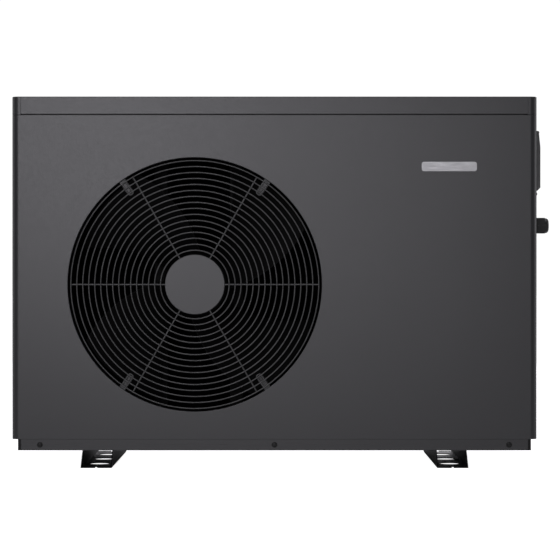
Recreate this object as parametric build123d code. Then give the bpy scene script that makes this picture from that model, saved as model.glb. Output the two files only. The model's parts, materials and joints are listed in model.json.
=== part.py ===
"""Air-source swimming-pool heat pump, modelled piece by piece.

Frame: millimetres, +Z up, +X to the right seen from the front, the front face looks along -Y.
The origin is the centre of the four anchor holes, in the plane the feet stand on.
Depths are measured backwards from the front face with back(depth).
"""

import math
import os

from build123d import *

# Casing
WIDTH = 931.0
HEIGHT = 658.0
DEPTH = 350.0
FRONT = -DEPTH / 2
REAR = FRONT + DEPTH
SHEET = 1.2
CORNER_R = 12.0
PANEL_LOW, PANEL_TOP = 51.0, 625.1
COVER_LOW, COVER_NOTCH_TOP = 625.7, 627.2
RETURN_DEPTH = 30.0
PANEL_GAP = 0.6
WRAP_X = 425.0
FLANGE = 12.0
COVER_SEAM_X = 449.6
TAB_JOGGLE, TAB_GAP = 1.5, 0.4
TOP_LIP_HALF, TOP_LIP_DEPTH, TOP_LIP_Z = 440.0, 6.0, 646.0
TAB_SCREW_X, TAB_SCREW_Z = (-415.5, 0.0, 415.5), 41.2
SIDE_TAB_END = 330.0

# Feet and base
FOOT_H = 31.0
FOOT_SHEET = 1.6
FOOT_LENGTH = DEPTH
FOOT_X = 316.0
FOOT_HALF = 27.5
FOOT_BEVEL = 40.0
FOOT_FLANGE = 24.0
FOOT_HOLE_R, FOOT_HOLE_DEPTH = 19.0, 78.0
FOOT_BOLT_DEPTH, FOOT_BOLT_OFFSET = 80.0, 13.0
ANCHOR_DEPTHS = (13.5, FOOT_LENGTH - 13.5)
ANCHOR_R = 5.5
ANCHOR_SLIT = 4.0
BASE_HALF = 454.6
TAB_HALF = 449.0
BASE_FRONT, BASE_BACK = 2.9, DEPTH - 2.9
BASE_FLANGE_TOP = 50.8
BASE_TOP = FOOT_H + SHEET
BASE_UNDER = FOOT_H - 6.0
DRAIN_D, DRAIN_R = 250.0, 9.0
SPIGOT_LOW, SPIGOT_TOP, SPIGOT_R, SPIGOT_BORE = 12.0, 24.0, 7.5, 5.5
WEEP_X, WEEP_D, WEEP_R = (-360.0, -250.0, -30.0, 60.0), 330.0, 5.0

# Fan side
FAN_X, FAN_Z = -141.2, 325.0
OPENING_R, OUTLET_LIP = 225.0, 8.0
RING_COUNT, RING_PITCH, RING_OUTER_R = 16, 10.6, 219.8
RING_WIRE_R, SPOKE_WIRE_R = 1.15, 1.4
RING_DEPTH = 4.0
WELD = 0.3
SPOKE_DEPTH = RING_DEPTH + RING_WIRE_R + SPOKE_WIRE_R - WELD
HUB_PLATE_R = 53.0
LOOP_ANGLES = (55.0, 125.0, 235.0, 305.0)
LOOP_INNER_R, LOOP_HALF = 195.5, 4.0
BLADE_COUNT, BLADE_TIP_R, FAN_HUB_R = 4, 219.0, 58.0
FAN_HUB_DEPTHS = (42.0, 98.0)
SHAFT_R, RUNNING = 5.0, 0.05
MOTOR_R, MOTOR_DEPTHS = 52.0, (106.0, 175.0)
MOTOR_PLATE = 4.0
BRACKET_FRONT = MOTOR_DEPTHS[1] + MOTOR_PLATE
MOTOR_BOLT = 46.0

# Finned coil
COIL_X, COIL_THICK = -448.0, 44.0
COIL_BACK = 341.0
COIL_END_X, COIL_START = 100.0, 42.0
COIL_LOW, COIL_TOP = 34.0, 634.0
COIL_BEND_R = 46.0
TUBE_PITCH, TUBE_R = 25.0, 4.8
PARTITION_X = 124.0

# Refrigerant side
COMPRESSOR_X, COMPRESSOR_D, COMPRESSOR_R = 205.0, 200.0, 60.0
COMPRESSOR_LOW, COMPRESSOR_TOP = 56.0, 340.0
STUD_CIRCLE = 72.0
ACCUMULATOR_D, ACCUMULATOR_R = 95.0, 30.0
EXCHANGER_X, EXCHANGER_D, EXCHANGER_R = 365.0, 235.0, 75.0
EXCHANGER_LOW, EXCHANGER_TOP = 60.0, 430.0
PORT_HEIGHTS = {"inlet": 130.0, "outlet": 370.0}
VALVE_Z, VALVE_STUB = 420.0, 13.8
BOARD_TOP = 487.6
PIPE_R, PIPE_WALL = 6.0, 1.0

# Water unions, for a 50 mm pipe
STUB_R, STUB_BORE = 33.0, 24.0
STUB_END = DEPTH + 13.0
SEAL_THICK = 2.0
TAIL_R, SOCKET_R, TAIL_END = 30.0, 25.15, DEPTH + 42.0
NUT_R, NUT_DEPTHS = 42.0, (DEPTH + 3.0, DEPTH + 23.0)
TURN_GAP = 0.3

# Controller on the right side
PANEL_X = WIDTH / 2
BEZEL_DEPTHS, BEZEL_HEIGHTS = (52.0, 178.0), (478.0, 606.0)
BEZEL_FACE = PANEL_X + 4.4
BEZEL_SCREW_R, BEZEL_SCREW_Z = 2.8, 487.6
LID_DEPTHS = (55.0, 175.0)
LID_LOW, LID_FULL_TOP = 493.0, 572.0
LID_FACE = PANEL_X + 12.4
LID_WALL, LID_CHAMFER = 1.8, 6.0
HINGE_X, HINGE_Z, KNUCKLE_R = PANEL_X + 7.1, 597.8, 3.0
PIN_R, PIN_END = 1.2, 0.8
BUTTONS = {"power": 76.0, "mode": 102.0, "up": 128.0, "down": 154.0}
BUTTON_Z, BUTTON_R = 516.0, 6.0
DISPLAY = (80.0, 150.0, 538.0, 582.0)
DISPLAY_RIM, DISPLAY_SEAT = 3.0, 1.4

# Cable gland
GLAND_D, GLAND_Z = 70.0, 431.0
GLAND_FLATS, GLAND_THREAD_R = 28.0, 12.4
GLAND_BODY_END, GLAND_NUT_START, GLAND_HEX_END, GLAND_TIP = 7.0, 7.4, 21.5, 28.4
CABLE_R = 8.0


def back(depth):
    """The y of a point that far behind the front face."""
    return FRONT + depth


def block(x0, x1, d0, d1, z0, z1):
    """A box between two x, two depths and two heights."""
    return Pos(x0, back(d0), z0) * Solid.make_box(x1 - x0, d1 - d0, z1 - z0)


def rod(start, end, radius):
    """A round bar between two (x, depth, z) points."""
    a = Vector(start[0], back(start[1]), start[2])
    b = Vector(end[0], back(end[1]), end[2])
    return Solid.make_cylinder(radius, (b - a).length, Plane(a, z_dir=b - a))


def tube(start, end, radius, bore):
    """A round pipe between two (x, depth, z) points."""
    return rod(start, end, radius) - rod(start, end, bore)


def fuse(pieces):
    """One solid from a list of touching ones."""
    first, *rest = pieces
    return first.fuse(*rest)


def profile_along_y(points, d0, d1):
    """Extrudes a closed (x, z) outline between two depths."""
    plane = Plane(origin=(0, back(d0), 0), x_dir=(1, 0, 0), z_dir=(0, -1, 0))
    return extrude(plane * Polygon(*points, align=None), amount=d0 - d1)


def quarter(start, end, centre):
    """A quarter circle in the plane between two points about a centre."""
    c = Vector(*centre)
    half_way = (Vector(*start) + Vector(*end)) * 0.5 - c
    radius = (Vector(*start) - c).length
    return ThreePointArc(start, c + half_way.normalized() * radius, end)


def casing_ring(z0, z1):
    """The casing's wall as one closed rounded band, from which the panels are cut."""
    outer = RectangleRounded(WIDTH, DEPTH, CORNER_R)
    inner = RectangleRounded(WIDTH - 2 * SHEET, DEPTH - 2 * SHEET, CORNER_R - SHEET)
    return extrude(Pos(0, (FRONT + REAR) / 2, z0) * (outer - inner), amount=z1 - z0)


def across(direction):
    """A direction square to an axis-aligned one."""
    return (0, 1, 0) if abs(direction[1]) < 0.5 else (1, 0, 0)


def hexagon(centre, direction, flats, length):
    """A hexagonal bar standing on an (x, depth, z) point."""
    origin = Vector(centre[0], back(centre[1]), centre[2])
    plane = Plane(origin, x_dir=across(direction), z_dir=direction)
    return extrude(plane * RegularPolygon(flats / 2, 6, major_radius=False), amount=length)


def pan_screw(seat, direction, length, head_r=3.8, washer_r=5.2):
    """A cross-recess screw: its head stands on seat and its shank runs along direction."""
    d = Vector(*direction)
    origin = Vector(seat[0], back(seat[1]), seat[2])
    plane = Plane(origin, x_dir=across(direction), z_dir=d * -1)
    washer = extrude(plane * Circle(washer_r), amount=0.8)
    head = extrude(plane.offset(0.8) * Circle(head_r), amount=1.9)
    head = fillet(head.faces().sort_by(Axis(origin, -d))[-1].edges(), 1.1)
    recess = plane.offset(1.9) * (Rectangle(head_r, 1.0) + Rectangle(1.0, head_r))
    shank = Solid.make_cylinder(1.8, length, Plane(origin, z_dir=d))
    return (head - extrude(recess, amount=2)).fuse(washer, shank).clean()


def hex_bolt(seat, length, shank_r=2.8, flats=10.0):
    """A hexagon bolt put in from below, its head under seat."""
    head = hexagon(seat, (0, 0, -1), flats, 4.0)
    return head.fuse(rod(seat, (seat[0], seat[1], seat[2] + length), shank_r))


def screw_hole(seat, direction, radius=2.2, reach=8.0):
    """A through hole for a screw, both ways from seat."""
    d = Vector(*direction)
    a = Vector(seat[0], back(seat[1]), seat[2]) - d * reach
    return Solid.make_cylinder(radius, 2 * reach, Plane(a, z_dir=d))


def bent_pipe(points, bend, radius=PIPE_R):
    """A copper pipe through (x, depth, z) points, with equal bends."""
    path = FilletPolyline(*[(x, back(d), z) for x, d, z in points], radius=bend)
    start = Plane(origin=path @ 0, z_dir=path % 0)
    return sweep(start * (Circle(radius) - Circle(radius - PIPE_WALL)), path=path)


# Screw positions shared by the panels and the screws
def side_screws():
    """Seats of the screws in the side panels' lower tabs, front to back."""
    return [
        (side * (BASE_HALF + 0.2 + SHEET), depth, 42.0)
        for side in (-1, 1)
        for depth in (60.0, 175.0, 290.0)
    ]


def cover_screws():
    """Seats of the screws in the top cover's side lips."""
    return [(side * PANEL_X, depth, 641.0) for side in (-1, 1) for depth in (90.0, 260.0)]


def seam_screws():
    """Seats of the screws in the side panels' wraps and the rear service panel."""
    wraps = [(side * (WRAP_X + 14.0), DEPTH, z) for side in (-1, 1) for z in (110.0, 340.0, 570.0)]
    service = [(PARTITION_X + 12.0, DEPTH, z) for z in (80.0, 340.0, 600.0)]
    return wraps + service


# Base and feet
def base_pan():
    """Tray with a flange all round, a spigot hole and a row of weep holes."""
    outer = block(-BASE_HALF, BASE_HALF, BASE_FRONT, BASE_BACK, FOOT_H, BASE_FLANGE_TOP)
    half, front, rear = BASE_HALF - SHEET, BASE_FRONT + SHEET, BASE_BACK - SHEET
    pan = outer - block(-half, half, front, rear, BASE_TOP, BASE_FLANGE_TOP + 1)
    holes = [rod((FAN_X, DRAIN_D, BASE_UNDER), (FAN_X, DRAIN_D, BASE_TOP + 1), DRAIN_R + 0.2)]
    holes += [rod((x, WEEP_D, BASE_UNDER), (x, WEEP_D, BASE_TOP + 1), WEEP_R) for x in WEEP_X]
    holes += [screw_hole(seat, (0, 0, 1), 3.0) for seat in foot_bolt_seats()]
    holes += [screw_hole((x, BASE_FRONT, TAB_SCREW_Z), (0, 1, 0)) for x in TAB_SCREW_X]
    holes += [screw_hole(seat, (1, 0, 0)) for seat in side_screws()]
    return pan.cut(*holes)


def foot_bolt_seats():
    """Where the feet's bolts sit, under the feet's flanges."""
    return [
        (x + half, depth, FOOT_H - FOOT_SHEET)
        for x in (-FOOT_X, FOOT_X)
        for half in (-FOOT_HALF - FOOT_BOLT_OFFSET, FOOT_HALF + FOOT_BOLT_OFFSET)
        for depth in (FOOT_BOLT_DEPTH, FOOT_LENGTH - FOOT_BOLT_DEPTH)
    ]


def foot(side):
    """One pressed foot: a channel with sloping ends, a flange each side and holes in its floor."""
    t, x, half, top, end = FOOT_SHEET, side * FOOT_X, FOOT_HALF, FOOT_H, FOOT_LENGTH
    slope = Plane(origin=(0, FRONT, 0), x_dir=(0, 1, 0), z_dir=(1, 0, 0))
    outline = [(0, 0), (end, 0), (end - FOOT_BEVEL, top), (FOOT_BEVEL, top)]
    trapezoid = extrude(slope * Polygon(*outline, align=None), amount=WIDTH / 2, both=True)
    channel = block(x - half, x + half, 0, end, 0, top)
    channel -= block(x - half + t, x + half - t, -1, end + 1, t, top + 1)
    wide = half + FOOT_FLANGE
    flanges = block(x - wide, x + wide, FOOT_BEVEL, end - FOOT_BEVEL, top - t, top)
    flanges -= block(x - half + t, x + half - t, 0, end, top - t - 1, top + 1)
    body = (channel & trapezoid).fuse(flanges)
    rounds = [(d, FOOT_HOLE_R) for d in (FOOT_HOLE_DEPTH, end / 2, end - FOOT_HOLE_DEPTH)]
    rounds += [(d, ANCHOR_R) for d in ANCHOR_DEPTHS]
    holes = [rod((x, d, -1), (x, d, t + 1), r) for d, r in rounds]
    slit = ANCHOR_SLIT / 2
    for d0, d1 in ((-1, ANCHOR_DEPTHS[0]), (ANCHOR_DEPTHS[1], end + 1)):
        holes.append(block(x - slit, x + slit, d0, d1, -1, t + 1))
    holes += [screw_hole(seat, (0, 0, 1), 3.0) for seat in foot_bolt_seats()]
    return body.cut(*holes).clean()


def foot_bolts():
    """The eight bolts between the feet and the base."""
    return Compound([hex_bolt(seat, 9.0) for seat in foot_bolt_seats()])


# Casing panels
def front_panel():
    """Front sheet with its round outlet, rolled vertical corners and joggled tabs."""
    pieces = [casing_ring(PANEL_LOW, PANEL_TOP) & block(-WIDTH, WIDTH, -5, RETURN_DEPTH, 0, HEIGHT)]
    inside = PANEL_X - SHEET
    for side in (-1, 1):
        x0, x1 = sorted((side * inside, side * (inside - FLANGE)))
        pieces.append(block(x0, x1, RETURN_DEPTH - SHEET, RETURN_DEPTH, PANEL_LOW, PANEL_TOP))
    tab, lip = TAB_JOGGLE + SHEET, TOP_LIP_DEPTH + SHEET
    tab_top, lip_low = PANEL_LOW + SHEET, PANEL_TOP - SHEET
    pieces += [
        block(-TAB_HALF, TAB_HALF, 0, tab, PANEL_LOW, tab_top),
        block(-TAB_HALF, TAB_HALF, TAB_JOGGLE, tab, FOOT_H + TAB_GAP, tab_top),
        block(-TOP_LIP_HALF, TOP_LIP_HALF, 0, lip, lip_low, PANEL_TOP),
        block(-TOP_LIP_HALF, TOP_LIP_HALF, TOP_LIP_DEPTH, lip, lip_low, TOP_LIP_Z),
    ]
    rolled = tube((FAN_X, 0, FAN_Z), (FAN_X, OUTLET_LIP, FAN_Z), OPENING_R + SHEET, OPENING_R)
    cuts = [rod((FAN_X, -5, FAN_Z), (FAN_X, 5, FAN_Z), OPENING_R)]
    cuts += [screw_hole((x, TAB_JOGGLE, TAB_SCREW_Z), (0, 1, 0)) for x in TAB_SCREW_X]
    panel = fuse(pieces).cut(*cuts).fuse(rolled).clean()
    rim = [
        e
        for e in panel.edges().filter_by(GeomType.CIRCLE)
        if abs(e.radius - OPENING_R) < 0.01 and abs(e.center().Y - FRONT) < 0.01
    ]
    return fillet(rim, 0.9)


def top_cover():
    """Flat top with a lip all round, notched in front between two fine corner seams."""
    plan = Pos(0, (FRONT + REAR) / 2, COVER_LOW) * RectangleRounded(WIDTH, DEPTH, CORNER_R)
    outer = extrude(plan, amount=HEIGHT - COVER_LOW)
    outer = fillet(outer.faces().sort_by(Axis.Z)[-1].edges(), 1.4)
    inner_plan = RectangleRounded(WIDTH - 2 * SHEET, DEPTH - 2 * SHEET, CORNER_R - SHEET)
    inner = extrude(
        Pos(0, (FRONT + REAR) / 2, COVER_LOW - 1) * inner_plan, amount=HEIGHT - COVER_LOW + 1 - SHEET
    )
    seams = [
        block(x - 0.5, x + 0.5, -1, 0.6, COVER_LOW - 1, HEIGHT - 2.2)
        for x in (-COVER_SEAM_X, COVER_SEAM_X)
    ]
    seams.append(block(-COVER_SEAM_X, COVER_SEAM_X, -1, 5, COVER_LOW - 1, COVER_NOTCH_TOP))
    holes = [screw_hole(seat, (1, 0, 0)) for seat in cover_screws()]
    return outer.cut(inner, *seams, *holes)


def side_panel(side):
    """Side sheet from the front panel's return round the rear corner, with a lower tab."""
    start = RETURN_DEPTH + PANEL_GAP
    keep_x = sorted((side * WRAP_X, side * WIDTH))
    keep = block(*keep_x, start, DEPTH + 5, 0, HEIGHT)
    inside = PANEL_X - SHEET

    def strip(x_a, x_b, d0, d1, z0, z1):
        x0, x1 = sorted((side * x_a, side * x_b))
        return block(x0, x1, d0, d1, z0, z1)

    tab_in, tab_out = BASE_HALF + 0.2, BASE_HALF + 0.2 + SHEET
    pieces = [
        casing_ring(PANEL_LOW, PANEL_TOP) & keep,
        strip(inside, inside - FLANGE, start, start + SHEET, PANEL_LOW, PANEL_TOP),
        strip(PANEL_X, tab_in, start, SIDE_TAB_END, PANEL_LOW, PANEL_LOW + SHEET),
        strip(tab_in, tab_out, start, SIDE_TAB_END, FOOT_H + TAB_GAP, PANEL_LOW + SHEET),
        strip(inside, inside - FLANGE / 2, 2 * start, SIDE_TAB_END, PANEL_TOP - SHEET, PANEL_TOP),
    ]
    holes = [screw_hole(seat, (1, 0, 0)) for seat in side_screws()]
    holes += [screw_hole(seat, (0, 1, 0)) for seat in seam_screws()]
    return fuse(pieces).cut(*holes).clean()


def left_side_panel():
    """The intake side: rows of punched slots in front of the coil's short leg."""
    plane = Plane(origin=(-PANEL_X - 5, back(190), 345), x_dir=(0, 1, 0), z_dir=(1, 0, 0))
    slots = [extrude(plane * slot, amount=10) for slot in GridLocations(84, 16, 3, 31) * SlotOverall(72, 8)]
    return side_panel(-1).cut(*slots)


def right_side_panel():
    """The service side: an opening behind the controller and a hole for the cable gland."""
    outer, inner = PANEL_X + 5, PANEL_X - 5
    (d0, d1), (z0, z1) = BEZEL_DEPTHS, BEZEL_HEIGHTS
    cutout = block(inner, outer, d0 + 6, d1 - 6, z0 + 16, z1 - 6)
    gland = rod((inner, GLAND_D, GLAND_Z), (outer, GLAND_D, GLAND_Z), GLAND_THREAD_R + 0.3)
    screws = [screw_hole(seat, (1, 0, 0)) for seat in bezel_screw_seats()]
    return side_panel(1).cut(cutout, gland, *screws)


def rear_service_panel():
    """Plain sheet behind the compressor bay, with the two water openings and a vent."""
    sheet = block(PARTITION_X, WRAP_X - PANEL_GAP, DEPTH - SHEET, DEPTH, PANEL_LOW, PANEL_TOP)
    holes = [rod((EXCHANGER_X, 340, z), (EXCHANGER_X, 360, z), STUB_R + 1.5) for z in PORT_HEIGHTS.values()]
    holes += [screw_hole(seat, (0, 1, 0)) for seat in seam_screws()]
    plane = Plane(origin=(275, back(DEPTH + 5), 530), x_dir=(1, 0, 0), z_dir=(0, -1, 0))
    holes += [extrude(plane * vent, amount=10) for vent in GridLocations(84, 16, 3, 7) * SlotOverall(72, 7)]
    return sheet.cut(*holes)


def rear_coil_guard():
    """Moulded grid over the coil's long leg."""
    x0, x1 = -WRAP_X + PANEL_GAP, PARTITION_X - PANEL_GAP
    width, height = x1 - x0, PANEL_TOP - PANEL_LOW
    centre = ((x0 + x1) / 2, back(DEPTH), (PANEL_LOW + PANEL_TOP) / 2)
    plane = Plane(origin=centre, x_dir=(1, 0, 0), z_dir=(0, -1, 0))
    face = Rectangle(width, height) - GridLocations(26, 26, 20, 21) * Rectangle(22.6, 22.6)
    return extrude(plane * face, amount=2.4)


def partition_plate():
    """Wall between the fan chamber and the compressor bay, with two holes for the coil's pipes."""
    plate = block(PARTITION_X, PARTITION_X + SHEET, 8, 343, BASE_TOP, 650)
    foot_flange = block(PARTITION_X, PARTITION_X + 14, 8, 290, BASE_TOP, BASE_TOP + SHEET)
    holes = [rod((115, d, z), (135, d, z), 9.0) for d, z in ((280, 455), (262, 390))]
    return plate.fuse(foot_flange).cut(*holes)


# Outlet guard and air path
def polar(radius, angle, depth):
    """A point round the fan's axis, as (x, depth, z)."""
    a = math.radians(angle)
    return (FAN_X + radius * math.cos(a), depth, FAN_Z + radius * math.sin(a))


def fan_guard():
    """Welded wire guard: rings in front, six spokes and four fixing loops behind."""
    axis = Plane((FAN_X, back(RING_DEPTH), FAN_Z), z_dir=(0, 1, 0))
    rings = [
        Solid.make_torus(RING_OUTER_R - RING_PITCH * i, RING_WIRE_R, axis) for i in range(RING_COUNT)
    ]
    spokes = [
        rod(polar(40, a, SPOKE_DEPTH), polar(RING_OUTER_R, a, SPOKE_DEPTH), SPOKE_WIRE_R)
        for a in range(0, 360, 60)
    ]
    loops = [fixing_loop(a) for a in LOOP_ANGLES]
    return rings[0].fuse(*rings[1:], *spokes, *loops)


def fixing_loop(angle):
    """A wire bent to a narrow U, both ends welded to the outer ring."""
    a = math.radians(angle)
    along = Vector(math.cos(a), 0, math.sin(a))
    across = Vector(-math.sin(a), 0, math.cos(a))
    centre = Vector(FAN_X, back(SPOKE_DEPTH), FAN_Z)
    corners = [
        centre + along * r + across * s
        for r, s in (
            (RING_OUTER_R, -LOOP_HALF),
            (LOOP_INNER_R, -LOOP_HALF),
            (LOOP_INNER_R, LOOP_HALF),
            (RING_OUTER_R, LOOP_HALF),
        )
    ]
    path = FilletPolyline(*corners, radius=2.2)
    return sweep(Plane(origin=path @ 0, z_dir=path % 0) * Circle(SPOKE_WIRE_R), path=path).solid()


def guard_hub_plate():
    """Pressed disc over the spokes' inner ends; its turned rim stands on the spokes."""
    front, seat = 1.6, SPOKE_DEPTH - SPOKE_WIRE_R
    cup = rod((FAN_X, front, FAN_Z), (FAN_X, seat, FAN_Z), HUB_PLATE_R)
    cup = fillet(cup.edges().sort_by(Axis.Y)[:1], 0.8)
    return cup - rod((FAN_X, front + SHEET, FAN_Z), (FAN_X, seat, FAN_Z), HUB_PLATE_R - SHEET)


def fan_shroud():
    """Duct ring behind the outlet, flared towards the fan chamber, with four hook lugs."""
    r0, r1 = OPENING_R + SHEET + 0.4, OPENING_R + SHEET + 2.4
    d0, d1, d2 = 1.4, 60.0, 76.0
    flare = d2 - d1
    edge = r0 + flare
    outline = Polyline((r0, d1), (r0, d0), (r1 + 20, d0), (r1 + 20, d0 + 2), (r1, d0 + 2), (r1, d1))
    outline += quarter((r1, d1), (edge, d2 - r1 + r0), (edge, d1))
    outline += Line((edge, d2 - r1 + r0), (edge, d2))
    outline += quarter((edge, d2), (r0, d1), (edge, d1))
    profile = make_face(outline.edges())
    plane = Plane((FAN_X, FRONT, FAN_Z), x_dir=(1, 0, 0), z_dir=(0, 0, 1))
    ring = revolve(plane * profile, Axis((FAN_X, 0, FAN_Z), (0, 1, 0)))
    return ring.fuse(*[hook_lug(a, r0 + 1) for a in LOOP_ANGLES])


def hook_lug(angle, outer_r):
    """An arm from the duct to a fixing loop, with a nose that stands in the loop."""
    inner_r, thick = 200.0, 3.0
    loop_back = SPOKE_DEPTH + SPOKE_WIRE_R + 0.4
    arm = Pos((outer_r + inner_r) / 2, loop_back + thick / 2, 0) * Box(outer_r - inner_r, thick, 12)
    nose = Pos(204, loop_back - 1, 0) * Box(6, 2 * thick, 4.4)
    return Pos(FAN_X, FRONT, FAN_Z) * Rot(0, -angle, 0) * arm.fuse(nose)


def fan_blade():
    """Four swept blades on a cup-shaped hub."""
    d0, d1 = FAN_HUB_DEPTHS
    hub = rod((FAN_X, d0, FAN_Z), (FAN_X, d1, FAN_Z), FAN_HUB_R)
    hub = fillet(hub.edges().sort_by(Axis.Y)[:1], 6)
    hub -= rod((FAN_X, d0 + 5, FAN_Z), (FAN_X, d1 + 1, FAN_Z), FAN_HUB_R - 4)
    boss = rod((FAN_X, d0 + 1, FAN_Z), (FAN_X, d1 - 8, FAN_Z), 14)
    limit = rod((FAN_X, 20, FAN_Z), (FAN_X, 130, FAN_Z), BLADE_TIP_R)
    limit -= rod((FAN_X, 20, FAN_Z), (FAN_X, 130, FAN_Z), FAN_HUB_R - 3)
    blades = [
        (Pos(FAN_X, back(70), FAN_Z) * Rot(0, -90 * i, 0) * blade()) & limit
        for i in range(BLADE_COUNT)
    ]
    bore = rod((FAN_X, d0 - 1, FAN_Z), (FAN_X, d1 + 1, FAN_Z), SHAFT_R)
    return hub.fuse(boss, *blades) - bore


def blade():
    """One blade about the Y axis, lofted through chords that widen and flatten outwards."""
    thick = 3.2
    sections = []
    for radius, middle, chord, pitch in (
        (50, 28, 92, 40),
        (110, 36, 130, 31),
        (170, 45, 168, 25),
        (232, 55, 205, 21),
    ):
        a, p = math.radians(middle), math.radians(pitch)
        out = Vector(math.cos(a), 0, math.sin(a))
        round_ = Vector(-math.sin(a), 0, math.cos(a))
        along = round_ * math.cos(p) + Vector(0, 1, 0) * math.sin(p)
        plane = Plane(out * radius, x_dir=along, z_dir=out)
        sections.append(plane * RectangleRounded(chord, thick, thick / 2.2))
    return loft(sections).solid()


def motor_shaft():
    """Shaft between the fan's nut and the motor."""
    shaft = rod((FAN_X, 28, FAN_Z), (FAN_X, 150, FAN_Z), SHAFT_R)
    return chamfer(shaft.edges(), 0.8)


def fan_nut():
    """Nut that holds the fan on its shaft."""
    nut = hexagon((FAN_X, FAN_HUB_DEPTHS[0], FAN_Z), (0, -1, 0), 17.0, 8.0)
    return nut - rod((FAN_X, 20, FAN_Z), (FAN_X, 60, FAN_Z), SHAFT_R)


def fan_motor():
    """Sealed motor with cooling ribs, a square rear plate and a blind shaft bore."""
    d0, d1 = MOTOR_DEPTHS
    body = rod((FAN_X, d0, FAN_Z), (FAN_X, d1, FAN_Z), MOTOR_R)
    body = fillet(body.edges().sort_by(Axis.Y)[:1], 8)
    grooves = [tube((FAN_X, d, FAN_Z), (FAN_X, d + 4, FAN_Z), MOTOR_R + 2, MOTOR_R - 3) for d in (130, 142, 154)]
    plate = block(FAN_X - 60, FAN_X + 60, d1, d1 + MOTOR_PLATE, FAN_Z - 60, FAN_Z + 60)
    holes = [screw_hole(seat, (0, 1, 0)) for seat in motor_screw_seats()]
    bore = rod((FAN_X, d0 - 5, FAN_Z), (FAN_X, 152, FAN_Z), SHAFT_R + RUNNING)
    return body.cut(*grooves).fuse(plate).cut(bore, *holes)


def motor_screw_seats():
    """Seats of the four screws on the motor's plate."""
    return [
        (FAN_X + i * MOTOR_BOLT, MOTOR_DEPTHS[1], FAN_Z + j * MOTOR_BOLT)
        for i in (-1, 1)
        for j in (-1, 1)
    ]


def motor_bracket():
    """Two channel posts from the base to under the cover, joined by two plates."""
    f, post_d = BRACKET_FRONT, 18.0
    pieces = []
    for side in (-1, 1):
        x = FAN_X + side * 70
        post = block(x - 12, x + 12, f, f + post_d, BASE_TOP, 654)
        pieces.append(post - block(x - 10.5, x + 10.5, f + 1.5, f + post_d, BASE_TOP, 654))
    for z in (FAN_Z - MOTOR_BOLT, FAN_Z + MOTOR_BOLT):
        pieces.append(block(FAN_X - 60, FAN_X + 60, f, f + 1.5, z - 16, z + 16))
    for z in (BASE_TOP, 652.5):
        pieces.append(block(FAN_X - 82, FAN_X + 82, f, f + 40, z, z + 1.5))
    holes = [screw_hole(seat, (0, 1, 0)) for seat in motor_screw_seats()]
    return fuse(pieces).cut(*holes)


# Finned coil
def coil_face():
    """The coil's plan: a short leg on the left, a bend and a long leg along the rear."""
    x0, x1 = COIL_X, COIL_X + COIL_THICK
    y0, y1 = back(COIL_BACK - COIL_THICK), back(COIL_BACK)
    outer_r = COIL_BEND_R + COIL_THICK
    start, end = back(COIL_START), COIL_END_X
    bend = (x0 + outer_r, y1 - outer_r)
    outline = Polyline((x1, bend[1]), (x1, start), (x0, start), (x0, bend[1]))
    outline += quarter((x0, bend[1]), (bend[0], y1), bend)
    outline += Polyline((bend[0], y1), (end, y1), (end, y0), (bend[0], y0))
    outline += quarter((bend[0], y0), (x1, bend[1]), bend)
    return make_face(outline.edges())


def evaporator_fins():
    """The finned block with a tube plate at each end."""
    fins = extrude(Pos(0, 0, COIL_LOW) * coil_face(), amount=COIL_TOP - COIL_LOW)
    y0, y1 = COIL_BACK - COIL_THICK, COIL_BACK
    end = block(COIL_END_X, COIL_END_X + SHEET, y0, y1, COIL_LOW, COIL_TOP)
    start = block(COIL_X, COIL_X + COIL_THICK, COIL_START - SHEET, COIL_START, COIL_LOW, COIL_TOP)
    return Compound([fins.solid(), end, start])


def hairpin_heights():
    """Heights where a return bend starts."""
    rows = int((COIL_TOP - COIL_LOW) // (2 * TUBE_PITCH))
    return [COIL_LOW + TUBE_PITCH * (2 * i + 1) for i in range(rows)]


def evaporator_tubes():
    """Return bends at both ends of the coil, two rows deep."""
    bends = []
    turn = TUBE_PITCH / 2
    for z in hairpin_heights():
        for row in (11, 33):
            at_end = Plane(
                (COIL_END_X + SHEET, back(COIL_BACK - row), z), x_dir=(0, 0, 1), z_dir=(0, 1, 0)
            )
            at_start = Plane(
                (COIL_X + row, back(COIL_START - SHEET), z), x_dir=(0, 0, 1), z_dir=(1, 0, 0)
            )
            for plane in (at_end, at_start):
                bends.append(half_bend(plane, turn))
    return Compound(bends)


def half_bend(plane, radius):
    """Half of a ring of tube, standing on its plane's origin."""
    face = plane.location * Pos(radius, 0, 0) * Rot(90, 0, 0) * Circle(TUBE_R)
    axis = Axis(plane.origin, plane.z_dir)
    return revolve(face, axis, 180).solid()


# Refrigerant circuit
def stud_places():
    """Centres of the three compressor mounts, as (x, depth)."""
    angles = [math.radians(a) for a in (0, 120, 240)]
    x, d, r = COMPRESSOR_X, COMPRESSOR_D, STUD_CIRCLE
    return [(x + r * math.cos(a), d + r * math.sin(a)) for a in angles]


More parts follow.
